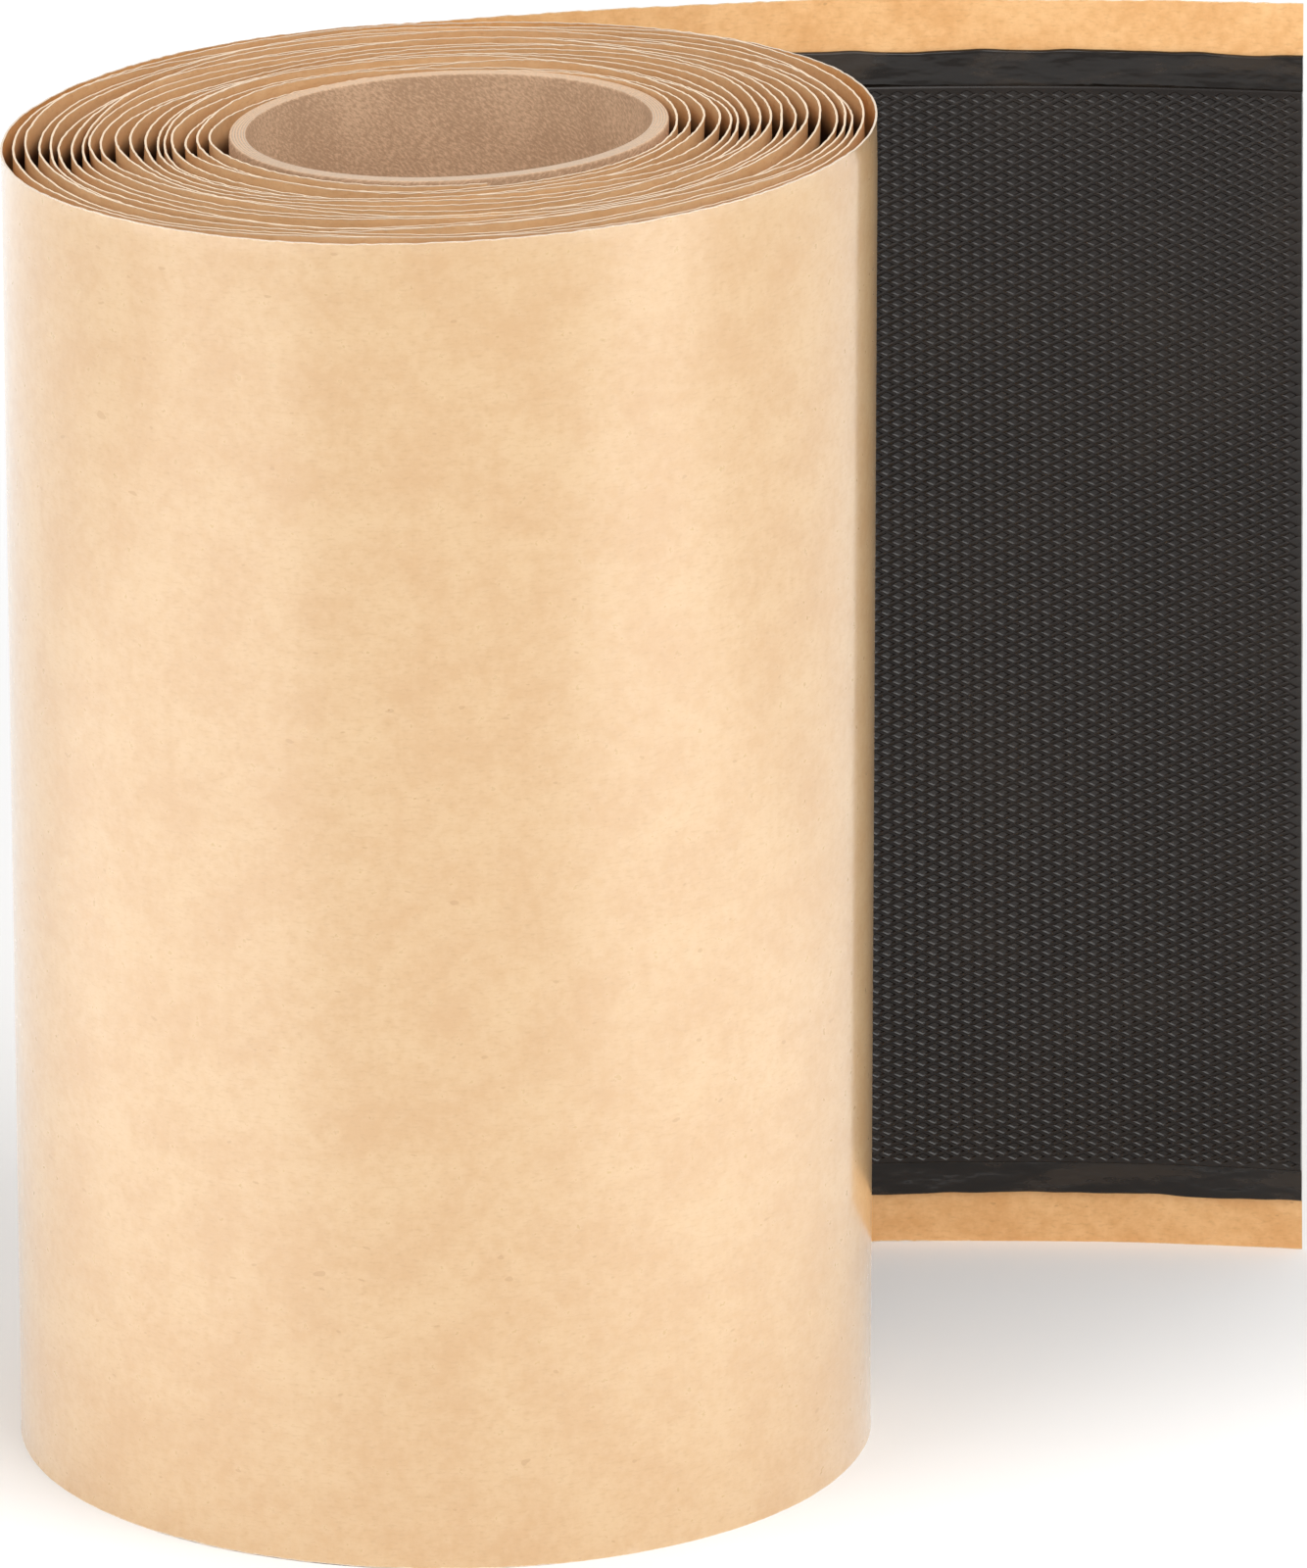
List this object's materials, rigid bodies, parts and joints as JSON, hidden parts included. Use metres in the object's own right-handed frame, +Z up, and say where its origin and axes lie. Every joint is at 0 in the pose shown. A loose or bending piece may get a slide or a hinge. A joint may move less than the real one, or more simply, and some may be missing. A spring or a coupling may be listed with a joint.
{
  "type": "roll of epdm sealing tape",
  "caption": "Upright roll of black rubber sealing tape wound with a kraft release liner on a paperboard core, with a short free end.",
  "frame": {"origin": "on the core's axis, at the level of the lower end", "axes": "+Z up along the core's axis; the free end runs towards +X from the back of the roll, at +Y"},
  "size_m": [0.2696, 0.1705, 0.26],
  "materials": {
    "paperboard_core": "matt spirally wound grey-brown paperboard",
    "kraft_liner": "satin siliconised kraft paper",
    "butyl_adhesive": "glossy tacky black butyl",
    "epdm_membrane": "satin black rubber, embossed with lozenges"
  },
  "bodies": {
    "root": {"core_tube": "paperboard_core", "wound_turns": "kraft_liner", "tail_liner": "kraft_liner", "tail_adhesive": "butyl_adhesive", "tail_membrane": "epdm_membrane"}
  },
  "joints": []
}
